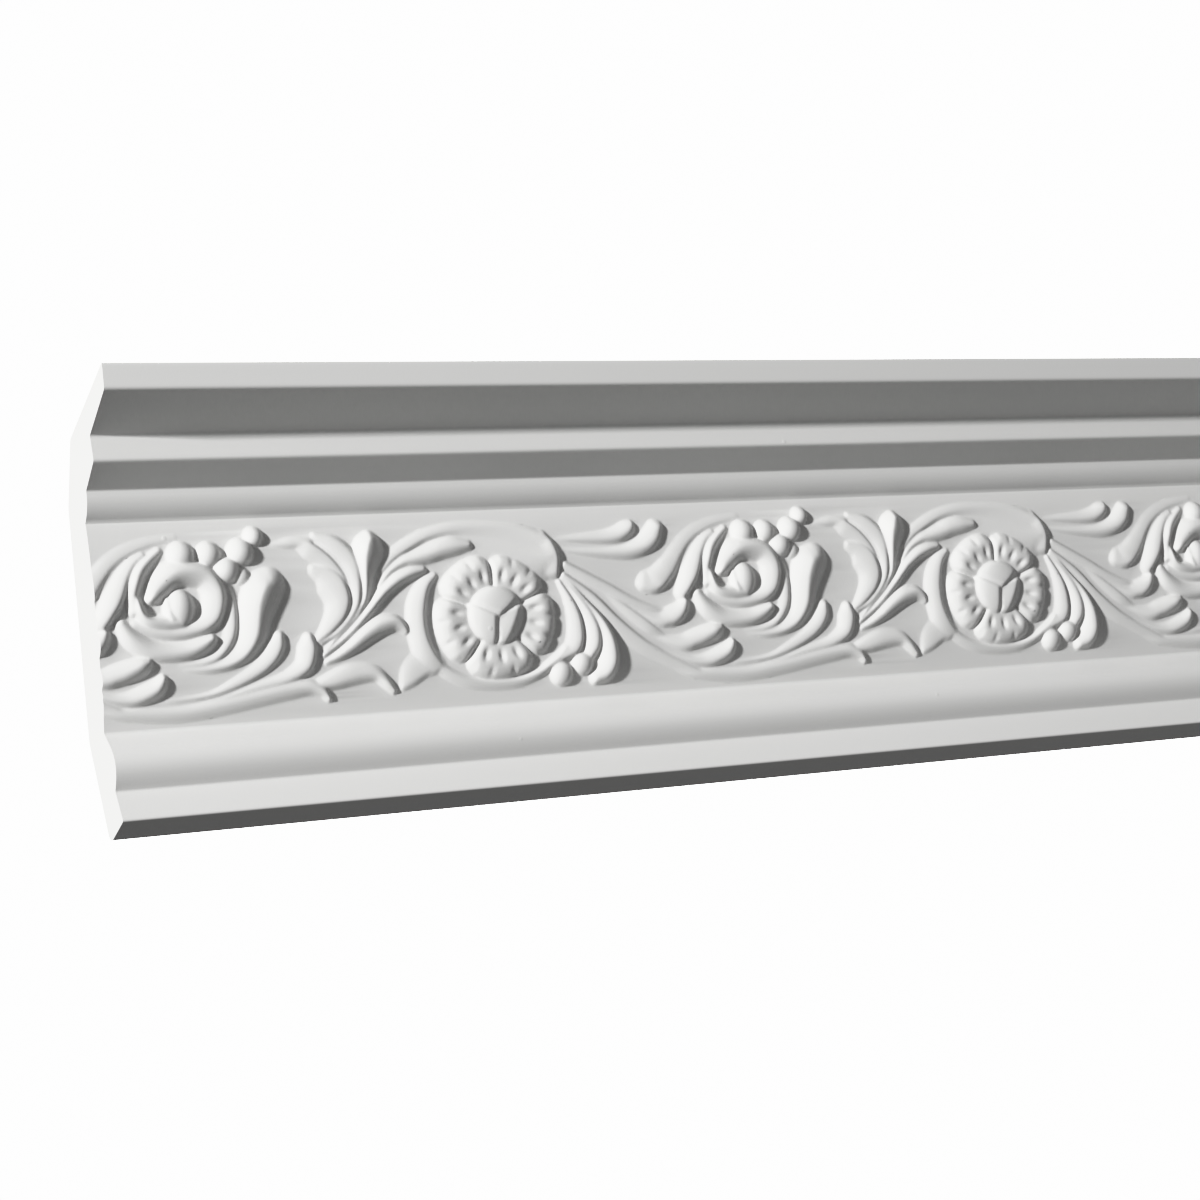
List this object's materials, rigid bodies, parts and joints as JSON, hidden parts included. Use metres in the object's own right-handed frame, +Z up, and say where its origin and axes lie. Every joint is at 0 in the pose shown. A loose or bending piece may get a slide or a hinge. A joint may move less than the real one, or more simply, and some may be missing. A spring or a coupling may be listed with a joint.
{
  "type": "cornice moulding",
  "caption": "Straight cornice moulding for the corner of wall and ceiling, with stepped upper mouldings, a carved scroll-and-rosette frieze and a rounded bead below.",
  "frame": {"origin": "middle of the flat strip that lies on the wall", "axes": "+X along the length, to the right as the carved front is looked at; +Y into the wall; +Z up to the ceiling"},
  "size_m": [0.9, 0.125, 0.175],
  "materials": {
    "cornice": "white factory primer, satin to matt"
  },
  "bodies": {
    "root": {"cornice": "cornice"}
  },
  "joints": []
}
